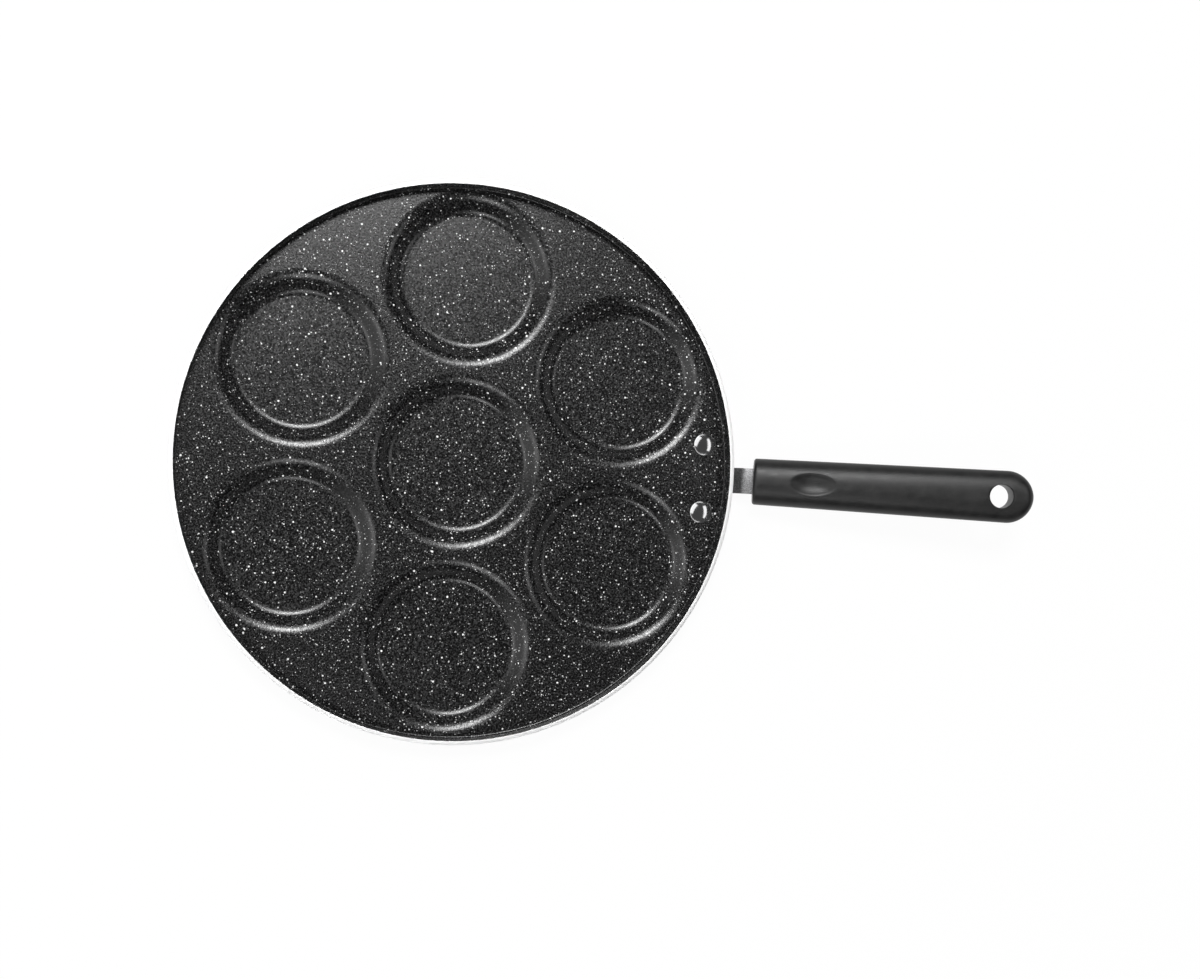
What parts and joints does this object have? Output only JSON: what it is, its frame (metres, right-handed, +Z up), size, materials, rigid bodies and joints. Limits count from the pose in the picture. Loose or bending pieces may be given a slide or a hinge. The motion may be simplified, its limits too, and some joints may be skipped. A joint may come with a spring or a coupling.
{
  "type": "egg pan",
  "caption": "Shallow round frying pan pressed with round moulds for eggs or small pancakes, with a riveted steel bracket and a plastic grip with a hanging hole.",
  "frame": {"origin": "on the pan's axis at the underside of the centre mould, in the plane that the pan rests on", "axes": "+X runs out from the pan's axis along the handle, +Z points up out of the pan, and +Y is the left when looking out along the handle"},
  "size_m": [0.4635, 0.3, 0.0469],
  "materials": {
    "stone_coat": "pressed aluminium sheet under a dark non-stick coat with fine pale speckles, bare metal on the rim's edge",
    "rivet_metal": "polished",
    "bracket_steel": "zinc-plated steel strip with a fine grain",
    "grip_plastic": "matte charcoal heat-resistant plastic with a fine grain",
    "screw_steel": "plated screw"
  },
  "bodies": {
    "root": {"pan_body": "stone_coat", "rivet_left": "rivet_metal", "rivet_right": "rivet_metal", "handle_bracket": "bracket_steel", "grip": "grip_plastic", "grip_screw": "screw_steel"}
  },
  "joints": []
}
